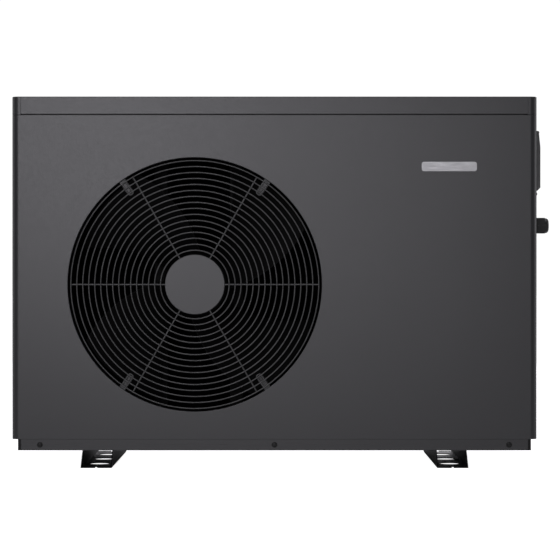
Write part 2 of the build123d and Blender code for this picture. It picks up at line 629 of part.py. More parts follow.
def compressor():
    """Sealed rotary compressor: shell with domed ends, foot plate and terminal cap."""
    x, d, r = COMPRESSOR_X, COMPRESSOR_D, COMPRESSOR_R
    low, top = COMPRESSOR_LOW, COMPRESSOR_TOP
    shell = rod((x, d, low), (x, d, top), r)
    shell = fillet(shell.edges().filter_by(GeomType.CIRCLE), 18)
    seams = [tube((x, d, z), (x, d, z + 4), r + 1.5, r - 2) for z in (low + 34, top - 40)]
    plate = rod((x, d, low), (x, d, low + 4), 50)
    arms = []
    for sx, sd in stud_places():
        mx, md = (x + sx) / 2, (d + sd) / 2
        arms.append(rod((sx, sd, low), (sx, sd, low + 4), 14))
        arms.append(rod((mx, md, low), (mx, md, low + 4), 24))
    cap = rod((x, d - 32, top - 10), (x, d - 32, top + 22), 17)
    outlet = rod((x, d, top - 5), (x, d, top + 10), 9)
    body = shell.fuse(*seams, plate, *arms, cap, outlet)
    holes = [rod((sx, sd, low - 6), (sx, sd, low + 14), 8.2) for sx, sd in stud_places()]
    return body.cut(*holes)


def compressor_grommets():
    """Rubber mounts: a wide foot, a neck through the foot plate and a cap."""
    mounts = []
    for x, d in stud_places():
        mount = rod((x, d, BASE_TOP), (x, d, 55.8), 14).fuse(rod((x, d, 55.8), (x, d, 64), 8.0))
        mounts.append(mount - rod((x, d, BASE_TOP), (x, d, 64), 3.3))
    return Compound(mounts)


def compressor_studs():
    """Weld studs standing on the base, each with a washer and a nut above its grommet."""
    sets = []
    for x, d in stud_places():
        stud = rod((x, d, BASE_TOP), (x, d, 74), 3.0)
        washer = rod((x, d, 64.2), (x, d, 65.8), 9)
        nut = hexagon((x, d, 65.8), (0, 0, 1), 10, 5)
        sets.append(stud.fuse(washer, nut))
    return Compound(sets)


def accumulator():
    """Suction accumulator strapped to the compressor."""
    x, d = COMPRESSOR_X, ACCUMULATOR_D
    body = rod((x, d, 110), (x, d, 300), ACCUMULATOR_R)
    body = fillet(body.edges().filter_by(GeomType.CIRCLE), 14)
    strap = block(x - 9, x + 9, d + ACCUMULATOR_R - 4, COMPRESSOR_D - COMPRESSOR_R - 0.2, 200, 222)
    elbow = rod((x, d, 80), (x, d, 112), 7)
    return body.fuse(strap, elbow, rod((x, d, 298), (x, d, 306), 9))


def water_heat_exchanger():
    """Plastic shell round a titanium coil, with two water bosses on the rear side."""
    x, d, r = EXCHANGER_X, EXCHANGER_D, EXCHANGER_R
    shell = rod((x, d, EXCHANGER_LOW), (x, d, EXCHANGER_TOP), r)
    shell = fillet(shell.edges().filter_by(GeomType.CIRCLE), 8)
    rims = [tube((x, d, z), (x, d, z + 12), r + 3, r - 4) for z in (84, EXCHANGER_TOP - 36)]
    bosses = [rod((x, d + 40, z), (x, d + r + 5, z), 36) for z in PORT_HEIGHTS.values()]
    ports = [
        rod((330, 200, EXCHANGER_TOP - 5), (330, 200, EXCHANGER_TOP + 4), 9),
        rod((x, d - r - 6, 90), (x, d - r + 6, 90), 9),
    ]
    stand = tube((x, d, BASE_TOP), (x, d, EXCHANGER_LOW), 62, 56)
    foot_ring = tube((x, d, BASE_TOP), (x, d, BASE_TOP + 3), 72, 56)
    body = shell.fuse(stand, foot_ring, *rims, *bosses, *ports)
    water = [rod((x, d + 45, z), (x, d + r + 6, z), STUB_BORE) for z in PORT_HEIGHTS.values()]
    return body.cut(*water)


def four_way_valve():
    """Reversing valve: a slim body, four stubs and its pilot coil."""
    x, d, z = COMPRESSOR_X, COMPRESSOR_D, VALVE_Z
    body = rod((x - 45, d, z), (x + 45, d, z), 13)
    body = fillet(body.edges().filter_by(GeomType.CIRCLE), 5)
    stubs = [rod((x + i * 25, d, z), (x + i * 25, d, z + VALVE_STUB), 8) for i in (-1, 0, 1)]
    low = rod((x, d, z - VALVE_STUB), (x, d, z), 8)
    pilot = rod((x - 30, d + 24, z), (x + 30, d + 24, z), 6)
    coil = block(x - 16, x + 16, d + 12, d + 36, z - 15, z + 15)
    return body.fuse(*stubs, low, pilot, fillet(coil.edges().filter_by(Axis.X), 4))


def expansion_valve():
    """Electronic expansion valve: brass body with its stepper head."""
    x, d = 262, 120
    body = rod((x, d, 300), (x, d, 322), 9).fuse(rod((x, d, 322), (x, d, 345), 7))
    motor = rod((x, d - 10, 334), (x, d - 42, 334), 16)
    return body.fuse(fillet(motor.edges().filter_by(GeomType.CIRCLE), 3), rod((x, d, 334), (x, d - 12, 334), 8))


def pipes():
    """Each copper run by name."""
    x, d, z = COMPRESSOR_X, COMPRESSOR_D, VALVE_Z + VALVE_STUB
    header = 280
    return {
        "discharge_pipe": tube(
            (x, d, COMPRESSOR_TOP + 10), (x, d, VALVE_Z - VALVE_STUB), PIPE_R, PIPE_R - PIPE_WALL
        ),
        "suction_pipe": bent_pipe(
            [(x, d, z), (x, d, 460), (x, ACCUMULATOR_D, 460), (x, ACCUMULATOR_D, 306)], 18
        ),
        "exchanger_gas_pipe": bent_pipe(
            [(x + 25, d, z), (x + 25, d, 462), (330, d, 462), (330, d, EXCHANGER_TOP + 4)], 18
        ),
        "coil_gas_pipe": bent_pipe(
            [(x - 25, d, z), (x - 25, d, 455), (x - 25, header, 455), (112, header, 455), (112, header, 70)],
            16,
        ),
        "liquid_pipe": bent_pipe(
            [(EXCHANGER_X, 154, 90), (EXCHANGER_X, 120, 90), (262, 120, 90), (262, 120, 300)], 18, 4.8
        ),
        "coil_liquid_pipe": bent_pipe(
            [(262, 120, 345), (262, 120, 390), (150, 120, 390), (150, 262, 390), (106, 262, 390), (106, 262, 90)],
            16,
            4.8,
        ),
    }


# Electrics
def control_box():
    """Sheet tray for the electrics, open at the top under the cover."""
    outer = block(130, 446, 12, 150, 478, 600)
    return outer - block(131, 445, 13, 149, 479, 601)


def circuit_board():
    """The main board on its posts, with its capacitors, choke, relays and power module."""
    board = block(140, 436, 22, 140, 486, BOARD_TOP)
    posts = [rod((x, d, 479), (x, d, 486), 3) for x in (148, 428) for d in (30, 132)]
    top = BOARD_TOP
    capacitors = [rod((x, 60, top), (x, 60, top + 45), 13) for x in (170, 202, 234)]
    choke = tube((290, 70, top), (290, 70, top + 22), 24, 11)
    relays = [block(x, x + 18, 105, 130, top, top + 16) for x in (160, 190, 220, 250)]
    module = block(330, 415, 40, 104, top, top + 24)
    return Compound([board.fuse(*posts), *capacitors, choke, *relays, module])


def heat_sink():
    """Finned aluminium block on the fan side of the partition."""
    plate = block(PARTITION_X - 6, PARTITION_X, 40, 140, 500, 600)
    fins = [block(PARTITION_X - 32, PARTITION_X - 6, d, d + 2, 500, 600) for d in range(42, 140, 8)]
    return plate.fuse(*fins)


def terminal_block():
    """Screw terminals for the supply cable, in open cells."""
    body = block(330, 420, 112, 138, BOARD_TOP, BOARD_TOP + 18)
    cells = [block(x, x + 12, 110, 130, BOARD_TOP + 8, BOARD_TOP + 20) for x in range(334, 410, 18)]
    return body.cut(*cells)


# Water unions
def water_stub(height):
    """Threaded outlet of the exchanger, with a collar against the rear panel."""
    x, start = EXCHANGER_X, EXCHANGER_D + EXCHANGER_R + 5
    body = rod((x, start, height), (x, STUB_END, height), STUB_R)
    body = body.fuse(rod((x, DEPTH - SHEET - 4.2, height), (x, DEPTH - SHEET - 0.2, height), 40))
    body -= rod((x, start - 1, height), (x, STUB_END + 1, height), STUB_BORE)
    return chamfer(body.edges().filter_by(GeomType.CIRCLE).sort_by(Axis.Y)[-2:], 0.8)


def union_seals():
    """Flat washers between the stubs and the tails."""
    return Compound(
        [
            tube((EXCHANGER_X, STUB_END, z), (EXCHANGER_X, STUB_END + SEAL_THICK, z), 30, 24.5)
            for z in PORT_HEIGHTS.values()
        ]
    )


def union_tail(height):
    """Socket end that a 50 mm pipe is glued into, held by the union nut."""
    x, start = EXCHANGER_X, STUB_END + SEAL_THICK
    body = rod((x, start, height), (x, start + 4, height), STUB_R)
    body = body.fuse(rod((x, start, height), (x, TAIL_END, height), TAIL_R))
    body = body.cut(rod((x, start + 1.5, height), (x, TAIL_END + 1, height), SOCKET_R))
    body = body.cut(rod((x, start - 1, height), (x, start + 2, height), 22.5))
    return chamfer(body.edges().filter_by(GeomType.CIRCLE).sort_by(Axis.Y)[-1:], 1.0)


def union_nut(height):
    """Hand nut with grip ribs; it turns freely on the stub and tail."""
    x = EXCHANGER_X
    d0, d1 = NUT_DEPTHS
    body = rod((x, d0, height), (x, d1, height), NUT_R - 3)
    body = fillet(body.edges().sort_by(Axis.Y)[-1:], 2.5)
    ribs = []
    for i in range(12):
        a = math.radians(30 * i)
        px, pz = x + (NUT_R - 3.5) * math.cos(a), height + (NUT_R - 3.5) * math.sin(a)
        ribs.append(rod((px, d0, pz), (px, d1 - 3, pz), 3.5))
    body = body.fuse(*ribs)
    shoulder = STUB_END + SEAL_THICK + 4 + TURN_GAP
    thread = rod((x, d0 - 1, height), (x, shoulder, height), STUB_R + TURN_GAP)
    mouth = rod((x, d0, height), (x, d1 + 1, height), TAIL_R + TURN_GAP)
    return body.cut(thread, mouth)


def drain_nozzle():
    """Condensate outlet through the base, with a spigot underneath for a hose."""
    x, d = FAN_X, DRAIN_D
    parts = [
        rod((x, d, BASE_TOP), (x, d, BASE_TOP + 2), 14),
        rod((x, d, SPIGOT_TOP), (x, d, BASE_TOP), DRAIN_R),
        rod((x, d, 27.5), (x, d, FOOT_H), 12),
        rod((x, d, SPIGOT_LOW), (x, d, SPIGOT_TOP), SPIGOT_R),
    ]
    return fuse(parts) - rod((x, d, SPIGOT_LOW - 1), (x, d, BASE_TOP + 4), SPIGOT_BORE)


# Cable gland
def cable_gland():
    """Threaded gland body with its outer hexagon against the side panel."""
    x, d, z = PANEL_X, GLAND_D, GLAND_Z
    head = hexagon((x, d, z), (1, 0, 0), GLAND_FLATS, GLAND_BODY_END)
    thread = rod((x - 16, d, z), (x, d, z), GLAND_THREAD_R)
    neck = rod((x, d, z), (x + 18, d, z), 11.5)
    bore = rod((x - 20, d, z), (x + 30, d, z), 9.4)
    return head.fuse(thread, neck) - bore


def cable_gland_locknut():
    """Nut on the thread inside the panel."""
    x, d, z = PANEL_X - SHEET, GLAND_D, GLAND_Z
    nut = hexagon((x, d, z), (-1, 0, 0), 33, 5)
    return nut - rod((x - 10, d, z), (x + 2, d, z), GLAND_THREAD_R)


def cable_gland_nut():
    """Clamping nut: hexagon behind, rounded nose in front."""
    x, d, z = PANEL_X, GLAND_D, GLAND_Z
    start, nose_start, tip = x + GLAND_NUT_START, x + GLAND_HEX_END, x + GLAND_TIP
    body = hexagon((start, d, z), (1, 0, 0), GLAND_FLATS, nose_start - start)
    nose = rod((nose_start, d, z), (tip, d, z), 13.4)
    nose = fillet(nose.edges().sort_by(Axis.X)[-1:], 5.0)
    hollow = rod((start - 1, d, z), (tip - 3.6, d, z), 11.8)
    return body.fuse(nose).cut(hollow, rod((start, d, z), (tip + 1, d, z), 9.2))


def cable_gland_seal():
    """Rubber sleeve that grips the cable."""
    x, d, z = PANEL_X, GLAND_D, GLAND_Z
    return tube((x + 4, d, z), (x + GLAND_TIP - 4, d, z), 9.1, CABLE_R)


# Controller
def bezel_screw_seats():
    """Seats of the bezel's two screws, on its face below the lid."""
    d0, d1 = BEZEL_DEPTHS
    return [(BEZEL_FACE, depth, BEZEL_SCREW_Z) for depth in (d0 + 8, d1 - 8)]


def controller_bezel():
    """Moulded housing: outer frame on the panel, an open-backed box behind it, two hinge ears."""
    (d0, d1), (z0, z1) = BEZEL_DEPTHS, BEZEL_HEIGHTS
    frame = block(PANEL_X, BEZEL_FACE, d0, d1, z0, z1)
    frame = fillet(frame.edges().filter_by(Axis.X), 5)
    frame = fillet(frame.faces().sort_by(Axis.X)[-1].edges(), 1.2)
    lid_d0, lid_d1 = LID_DEPTHS[0] - TURN_GAP, LID_DEPTHS[1] + TURN_GAP
    groove_r = KNUCKLE_R + 0.5
    frame -= rod((HINGE_X, lid_d0, HINGE_Z), (HINGE_X, lid_d1, HINGE_Z), groove_r)
    box = block(PANEL_X - 16, PANEL_X + 1, d0 + 7, d1 - 7, z0 + 17, z1 - 13)
    ears = []
    for e0, e1 in ((d0, lid_d0), (lid_d1, d1)):
        ear = rod((HINGE_X, e0, HINGE_Z), (HINGE_X, e1, HINGE_Z), KNUCKLE_R)
        root = block(BEZEL_FACE - 3, HINGE_X, e0, e1, HINGE_Z - KNUCKLE_R, HINGE_Z + KNUCKLE_R)
        ears.append(ear.fuse(root))
    body = frame.fuse(box, *ears)
    cavity = block(PANEL_X - 17, BEZEL_FACE - 2.4, d0 + 9, d1 - 9, z0 + 19, z1 - 15)
    s0, s1, low, high = DISPLAY
    window = block(PANEL_X, PANEL_X + 10, s0, s1, low, high)
    rim = DISPLAY_RIM
    recess = block(BEZEL_FACE - DISPLAY_SEAT, PANEL_X + 10, s0 - rim, s1 + rim, low - rim, high + rim)
    cuts = [cavity, window, recess]
    for depth in BUTTONS.values():
        cuts.append(rod((PANEL_X, depth, BUTTON_Z), (PANEL_X + 10, depth, BUTTON_Z), BUTTON_R + 0.3))
    cuts.append(rod((HINGE_X, d0 + PIN_END, HINGE_Z), (HINGE_X, d1 - PIN_END, HINGE_Z), PIN_R))
    cuts += [screw_hole(seat, (1, 0, 0), 2.2, 12.0) for seat in bezel_screw_seats()]
    return body.cut(*cuts)


def controller_board():
    """Board behind the controller's face, inside the bezel's box."""
    (d0, d1), (z0, z1) = BEZEL_DEPTHS, BEZEL_HEIGHTS
    return block(PANEL_X - 11, PANEL_X - 9.4, d0 + 10, d1 - 10, z0 + 20, z1 - 16)


def controller_display():
    """Display window in its seat in the bezel's face."""
    s0, s1, low, high = DISPLAY
    rim = DISPLAY_RIM - 0.2
    return block(
        BEZEL_FACE - DISPLAY_SEAT, BEZEL_FACE - 0.1, s0 - rim, s1 + rim, low - rim, high + rim
    )


def button(depth):
    """Push button: a domed cap with a retaining flange behind the bezel's face."""
    start, z = PANEL_X - 0.4, BUTTON_Z
    cap = rod((start, depth, z), (BEZEL_FACE + 1.4, depth, z), BUTTON_R)
    cap = fillet(cap.edges().sort_by(Axis.X)[-1:], 1.2)
    return cap.fuse(rod((start, depth, z), (start + 1.8, depth, z), BUTTON_R + 1.5))


def controller_lid():
    """Weather lid: sloped at the top, hollow towards the bezel, turning about its top edge."""
    d0, d1 = LID_DEPTHS
    inner, face, low = BEZEL_FACE + 0.4, LID_FACE, LID_LOW
    outline = [
        (inner, low),
        (face - LID_CHAMFER, low),
        (face, low + LID_CHAMFER),
        (face, LID_FULL_TOP),
        (HINGE_X + 3.1, HINGE_Z - 4),
        (HINGE_X + 2.7, HINGE_Z + 1),
        (inner, HINGE_Z),
    ]
    wall, hollow_top = LID_WALL, HINGE_Z - 9
    shift = LID_CHAMFER + 0.4 * wall
    hollow = [
        (inner - 1, low + wall),
        (face - shift, low + wall),
        (face - wall, low + shift),
        (face - wall, LID_FULL_TOP - 1),
        (HINGE_X + 1.1, hollow_top),
        (inner - 1, hollow_top),
    ]
    body = profile_along_y(outline, d0, d1)
    lower = body.edges().filter_by(Axis.Y).sort_by(Axis.Z)[:3]
    body = fillet([e for e in lower if e.center().X > inner + 1], 2.4)
    body = body.fuse(rod((HINGE_X, d0, HINGE_Z), (HINGE_X, d1, HINGE_Z), KNUCKLE_R))
    body = body.cut(profile_along_y(hollow, d0 + wall, d1 - wall))
    return body.cut(rod((HINGE_X, d0 - 1, HINGE_Z), (HINGE_X, d1 + 1, HINGE_Z), PIN_R + RUNNING))


def lid_hinge_pin():
    """Steel pin through the bezel's ears and the lid's knuckle."""
    d0, d1 = BEZEL_DEPTHS
    return rod((HINGE_X, d0 + PIN_END, HINGE_Z), (HINGE_X, d1 - PIN_END, HINGE_Z), PIN_R)


def pan_screws():
    """Every cross-recess screw of the casing, the motor and the controller, each its own solid."""
    screws = [pan_screw((x, TAB_JOGGLE, TAB_SCREW_Z), (0, 1, 0), 7.0) for x in TAB_SCREW_X]
    for seat in [*side_screws(), *cover_screws()]:
        screws.append(pan_screw(seat, (-math.copysign(1, seat[0]), 0, 0), 6.0))
    screws += [pan_screw(seat, (0, -1, 0), 6.0) for seat in seam_screws()]
    screws += [pan_screw(seat, (0, 1, 0), 9.0) for seat in motor_screw_seats()]
    screws += [
        pan_screw(seat, (-1, 0, 0), 9.0, BEZEL_SCREW_R - 0.3, BEZEL_SCREW_R)
        for seat in bezel_screw_seats()
    ]
    return Compound(screws)


def build():
    nodes = {
        "base_pan": base_pan(),
        "foot_left": foot(-1),
        "foot_right": foot(1),
        "foot_bolts": foot_bolts(),
        "front_panel": front_panel(),
        "top_cover": top_cover(),
        "left_side_panel": left_side_panel(),
        "right_side_panel": right_side_panel(),
        "rear_service_panel": rear_service_panel(),
        "rear_coil_guard": rear_coil_guard(),
        "partition_plate": partition_plate(),
        "fan_guard": fan_guard(),
        "guard_hub_plate": guard_hub_plate(),
        "fan_shroud": fan_shroud(),
        "fan_blade": fan_blade(),
        "motor_shaft": motor_shaft(),
        "fan_nut": fan_nut(),
        "fan_motor": fan_motor(),
        "motor_bracket": motor_bracket(),
        "evaporator_fins": evaporator_fins(),
        "evaporator_tubes": evaporator_tubes(),
        "compressor": compressor(),
        "compressor_grommets": compressor_grommets(),
        "compressor_studs": compressor_studs(),
        "accumulator": accumulator(),
        "water_heat_exchanger": water_heat_exchanger(),
        "four_way_valve": four_way_valve(),
        "expansion_valve": expansion_valve(),
        "control_box": control_box(),
        "circuit_board": circuit_board(),
        "heat_sink": heat_sink(),
        "terminal_block": terminal_block(),
        "union_seals": union_seals(),
        "drain_nozzle": drain_nozzle(),
        "cable_gland": cable_gland(),
        "cable_gland_locknut": cable_gland_locknut(),
        "cable_gland_nut": cable_gland_nut(),
        "cable_gland_seal": cable_gland_seal(),
        "controller_bezel": controller_bezel(),
        "controller_board": controller_board(),
        "controller_display": controller_display(),
        "controller_lid": controller_lid(),
        "lid_hinge_pin": lid_hinge_pin(),
        "pan_screws": pan_screws(),
    }
    nodes.update(pipes())
    for name, height in PORT_HEIGHTS.items():
        nodes[f"water_stub_{name}"] = water_stub(height)
        nodes[f"union_nut_{name}"] = union_nut(height)
        nodes[f"union_tail_{name}"] = union_tail(height)
    for name, depth in BUTTONS.items():
        nodes[f"button_{name}"] = button(depth)
    return nodes


os.makedirs("parts", exist_ok=True)
for node, shape in build().items():
    export_step(shape, f"parts/{node}.step")
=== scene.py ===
"""Looks for the pool heat pump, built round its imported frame. Metres, +Z up, the front looks along -Y."""

import json
import math

import bmesh
import bpy
from mathutils import Matrix, Vector


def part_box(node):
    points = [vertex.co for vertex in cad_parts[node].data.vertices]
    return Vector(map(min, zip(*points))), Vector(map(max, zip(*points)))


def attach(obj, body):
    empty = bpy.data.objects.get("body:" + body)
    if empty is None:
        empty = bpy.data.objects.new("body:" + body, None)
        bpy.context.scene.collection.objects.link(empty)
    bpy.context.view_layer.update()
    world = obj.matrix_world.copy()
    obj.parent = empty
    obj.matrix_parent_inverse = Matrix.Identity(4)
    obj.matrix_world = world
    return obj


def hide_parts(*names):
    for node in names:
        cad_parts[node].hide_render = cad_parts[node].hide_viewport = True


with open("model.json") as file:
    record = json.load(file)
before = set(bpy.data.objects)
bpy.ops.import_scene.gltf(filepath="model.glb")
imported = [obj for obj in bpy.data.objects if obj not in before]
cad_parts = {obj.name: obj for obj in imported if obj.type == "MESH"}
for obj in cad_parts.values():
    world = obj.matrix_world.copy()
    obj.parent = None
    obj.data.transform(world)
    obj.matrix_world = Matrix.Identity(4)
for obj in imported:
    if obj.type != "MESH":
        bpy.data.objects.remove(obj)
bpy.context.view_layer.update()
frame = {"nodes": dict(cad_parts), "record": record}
scene = bpy.context.scene

CASING = "casing"


# ---------------------------------------------------------------- materials
def socket(shader, *names):
    """The first of these inputs that the shader has."""
    return next(shader.inputs[n] for n in names if n in shader.inputs)


class Surface:
    """A Principled material whose colour, roughness and relief vary with noise in object space."""

    def __init__(self, name, colour, roughness, metallic=0.0, specular=0.5):
        self.material = bpy.data.materials.new(name)
        self.material.use_nodes = True
        self.tree = self.material.node_tree
        self.shader = self.tree.nodes["Principled BSDF"]
        self.place = self.add("ShaderNodeTexCoord").outputs["Object"]
        self.height = None
        self.colour = colour
        socket(self.shader, "Base Color").default_value = (*colour, 1)
        socket(self.shader, "Roughness").default_value = roughness
        socket(self.shader, "Metallic").default_value = metallic
        socket(self.shader, "Specular IOR Level").default_value = specular

    def add(self, kind, **settings):
        node = self.tree.nodes.new(kind)
        for key, value in settings.items():
            setattr(node, key, value)
        return node

    def link(self, a, b):
        self.tree.links.new(a, b)

    def noise(self, scale, detail=3.0, stretch=(1, 1, 1)):
        """Noise of that many cells a metre, drawn out along an axis where stretch is small."""
        node = self.add("ShaderNodeTexNoise")
        node.inputs["Scale"].default_value = scale
        node.inputs["Detail"].default_value = detail
        source = self.place
        if stretch != (1, 1, 1):
            mapping = self.add("ShaderNodeMapping")
            mapping.inputs["Scale"].default_value = stretch
            self.link(self.place, mapping.inputs["Vector"])
            source = mapping.outputs["Vector"]
        self.link(source, node.inputs["Vector"])
        return node.outputs["Fac"]

    def spread(self, value, low, high, start=0.3, end=0.7):
        """Maps a noise value to a range."""
        node = self.add("ShaderNodeMapRange")
        for name, number in (("From Min", start), ("From Max", end), ("To Min", low), ("To Max", high)):
            node.inputs[name].default_value = number
        self.link(value, node.inputs["Value"])
        return node.outputs["Result"]

    def tint(self, value, share):
        """Colour that swings by that share either side of the base colour."""
        ramp = self.add("ShaderNodeValToRGB")
        ramp.color_ramp.elements[0].position = 0.32
        ramp.color_ramp.elements[1].position = 0.68
        ramp.color_ramp.elements[0].color = (*[c * (1 - share) for c in self.colour], 1)
        ramp.color_ramp.elements[1].color = (*[c * (1 + share) for c in self.colour], 1)
        self.link(value, ramp.inputs["Fac"])
        self.link(ramp.outputs["Color"], socket(self.shader, "Base Color"))
        return self

    def rough(self, value, low, high):
        self.link(self.spread(value, low, high), socket(self.shader, "Roughness"))
        return self

    def relief(self, value, depth, strength=1.0):
        """Adds a bump of that depth in metres on top of the ones before it."""
        bump = self.add("ShaderNodeBump")
        bump.inputs["Strength"].default_value = strength
        bump.inputs["Distance"].default_value = depth
        self.link(value, bump.inputs["Height"])
        if self.height is not None:
            self.link(self.height, bump.inputs["Normal"])
        self.height = bump.outputs["Normal"]
        self.link(self.height, self.shader.inputs["Normal"])
        return self

    def soft_edges(self, radius):
        """Rounds sharp edges in the shading, as a coat of paint does."""
        bevel = self.add("ShaderNodeBevel", samples=4)
        bevel.inputs["Radius"].default_value = radius
        self.height = bevel.outputs["Normal"]
        self.link(self.height, self.shader.inputs["Normal"])
        return self


def powder_coat(name, colour, roughness, grain=1400.0, specular=0.5):
    """Satin powder coat: a fine orange peel, faint cloudiness and edges rounded by the coat."""
    s = Surface(name, colour, roughness, specular=specular)
    s.soft_edges(0.0006)
    s.relief(s.noise(grain, 2.0), 0.00004, 0.35)
    s.relief(s.noise(9.0, 2.0), 0.0004, 0.06)
    s.tint(s.noise(6.0, 5.0), 0.05)
    return s.rough(s.noise(300.0, 3.0), roughness - 0.02, roughness + 0.03).material


def moulded(name, colour, roughness, grain=1800.0, depth=0.00005, specular=0.5):
    """Moulded plastic with a fine spark-eroded grain."""
    s = Surface(name, colour, roughness, specular=specular)
    s.soft_edges(0.0004)
    s.relief(s.noise(grain, 3.0), depth, 0.5)
    s.tint(s.noise(25.0, 4.0), 0.1)
    return s.rough(s.noise(120.0, 4.0), roughness - 0.06, roughness + 0.08).material


def metal(name, colour, roughness, stretch=(1, 1, 1), scale=400.0, depth=0.00003):
    """Bare metal with fine working marks, drawn out along one axis."""
    s = Surface(name, colour, roughness, metallic=1.0)
    s.relief(s.noise(scale, 4.0, stretch), depth, 0.4)
    s.tint(s.noise(40.0, 4.0), 0.08)
    return s.rough(s.noise(scale / 2, 4.0, stretch), roughness - 0.08, roughness + 0.12).material


def galvanised(name):
    """Zinc-coated sheet with its spangle."""
    s = Surface(name, (0.34, 0.35, 0.36), 0.4, metallic=0.9)
    cells = s.add("ShaderNodeTexVoronoi", feature="F1")
    cells.inputs["Scale"].default_value = 110.0
    s.link(s.place, cells.inputs["Vector"])
    grey = s.add("ShaderNodeRGBToBW")
    s.link(cells.outputs["Color"], grey.inputs["Color"])
    s.tint(grey.outputs["Val"], 0.18)
    return s.rough(grey.outputs["Val"], 0.3, 0.52).material


def glassy(name, colour):
    """Dark glossy window."""
    s = Surface(name, colour, 0.08)
    socket(s.shader, "Coat Weight").default_value = 0.6
    s.tint(s.noise(30.0, 2.0), 0.1)
    return s.rough(s.noise(60.0, 3.0), 0.06, 0.12).material


PAINT = (0.0172, 0.0172, 0.0192)
materials = {
    "panel_paint": powder_coat("panel_paint", PAINT, 0.3),
    # Base pan near-black with weak specular: painted shade for the shadowed flange ends behind the front
    # panel's tab.
    "base_paint": powder_coat("base_paint", (0.003, 0.003, 0.0032), 0.45, specular=0.2),
    "foot_paint": powder_coat("foot_paint", (0.007, 0.007, 0.0075), 0.5, specular=0.16),
    # Inner parts near-black and nearly unreflective: painted shade for the dark inside of the casing behind
    # the guard.
    "chassis_paint": powder_coat("chassis_paint", (0.0012, 0.0012, 0.0013), 0.5, specular=0.08),
    "guard_wire": moulded("guard_wire", (0.045, 0.045, 0.046), 0.3, 900.0),
    "black_plastic": moulded("black_plastic", (0.006, 0.006, 0.0063), 0.36, specular=0.45),
    "grey_plastic": moulded("grey_plastic", (0.046, 0.046, 0.048), 0.32),
    "fan_plastic": moulded("fan_plastic", (0.001, 0.001, 0.0011), 0.5, specular=0.08),
    "steel": metal("steel", (0.5, 0.5, 0.51), 0.3),
    # Screws near-black: painted shade for the dark ring in the recess round each head.
    "screw": moulded("screw", (0.002, 0.002, 0.0022), 0.22, 900.0, specular=0.3),
    "satin_plate": metal("satin_plate", (0.3, 0.3, 0.305), 0.34, (0.1, 1, 1), 900.0),
    "zinc": galvanised("zinc"),
    # Fins near-black with weak specular: painted shade for the dark coil inside the casing.
    "fin": moulded("fin", (0.003, 0.0032, 0.0036), 0.5, 900.0, specular=0.15),
    "copper": metal("copper", (0.55, 0.2, 0.1), 0.32, (1, 1, 0.2)),
    "brass": metal("brass", (0.6, 0.4, 0.16), 0.34),
    "compressor_paint": powder_coat("compressor_paint", (0.006, 0.006, 0.0065), 0.28, 700.0),
    "rubber": moulded("rubber", (0.008, 0.008, 0.008), 0.65, 900.0, 0.0001),
    "pvc": moulded("pvc", (0.2, 0.205, 0.21), 0.34, 500.0, 0.00002),
    "board": moulded("board", (0.004, 0.07, 0.03), 0.4, 600.0),
    "display": glassy("display", (0.006, 0.0065, 0.008)),
    "button": moulded("button", (0.11, 0.11, 0.115), 0.55, 1500.0),
}

for row in frame["record"]["subparts"]:
    node = frame["nodes"][row["node"]]
    node.data.materials.clear()
    node.data.materials.append(materials[row["material_slot"]])


# ---------------------------------------------------------------- mesh helpers
def add_object(name, mesh, slot, body=CASING, look=None):
    """Puts a finished mesh or curve in the scene, in its material and on its body."""
    piece = bpy.data.objects.new(name, mesh)
    scene.collection.objects.link(piece)
    mesh.materials.append(materials[look or slot])
    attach(piece, body)
    return piece


def mesh_of(build, name):
    """Runs build on an empty bmesh and returns the mesh."""
    bm = bmesh.new()
    build(bm)
    mesh = bpy.data.meshes.new(name)
    bm.to_mesh(mesh)
    bm.free()
    return mesh


def add_box(bm, centre, size):
    """A box of that size about a point."""
    where = Matrix.Translation(centre) @ Matrix.Diagonal((*size, 1))
    bmesh.ops.create_cube(bm, size=1.0, matrix=where)


def bevelled(piece, width):
    """Takes the sharpness off a piece's edges."""
    bevel = piece.modifiers.new("edge", "BEVEL")
    bevel.width = width
    bevel.segments = 2


# ---------------------------------------------------------------- the finned coil
FIN_PITCH = 0.0019
FIN_THICK = 0.00016
FIN_WAVE = 0.0011
FIN_FOLDS = 8
COIL_BEND = 0.046
PLATE = 0.0012
COIL_THICK = 0.044
COIL_CLEARANCE = 0.0006


def coil_stations(low, high):
    """Where each fin stands: its centre in plan and the direction across the coil."""
    mid_bend = COIL_BEND + COIL_THICK / 2
    centre = Vector((low.x + COIL_THICK + COIL_BEND, high.y - COIL_THICK - COIL_BEND))
    stations = []
    y = low.y + PLATE + FIN_PITCH
    while y < centre.y:
        stations.append((Vector((low.x + COIL_THICK / 2, y)), Vector((1, 0))))
        y += FIN_PITCH
    steps = int(mid_bend * math.pi / 2 / FIN_PITCH)
    for i in range(steps):
        a = math.pi - (i + 0.5) * math.pi / 2 / steps
        out = Vector((math.cos(a), math.sin(a)))
        stations.append((centre + out * mid_bend, out))
    x = centre.x + FIN_PITCH / 2
    while x < high.x - PLATE - FIN_PITCH / 2:
        stations.append((Vector((x, high.y - COIL_THICK / 2)), Vector((0, 1))))
        x += FIN_PITCH
    return stations


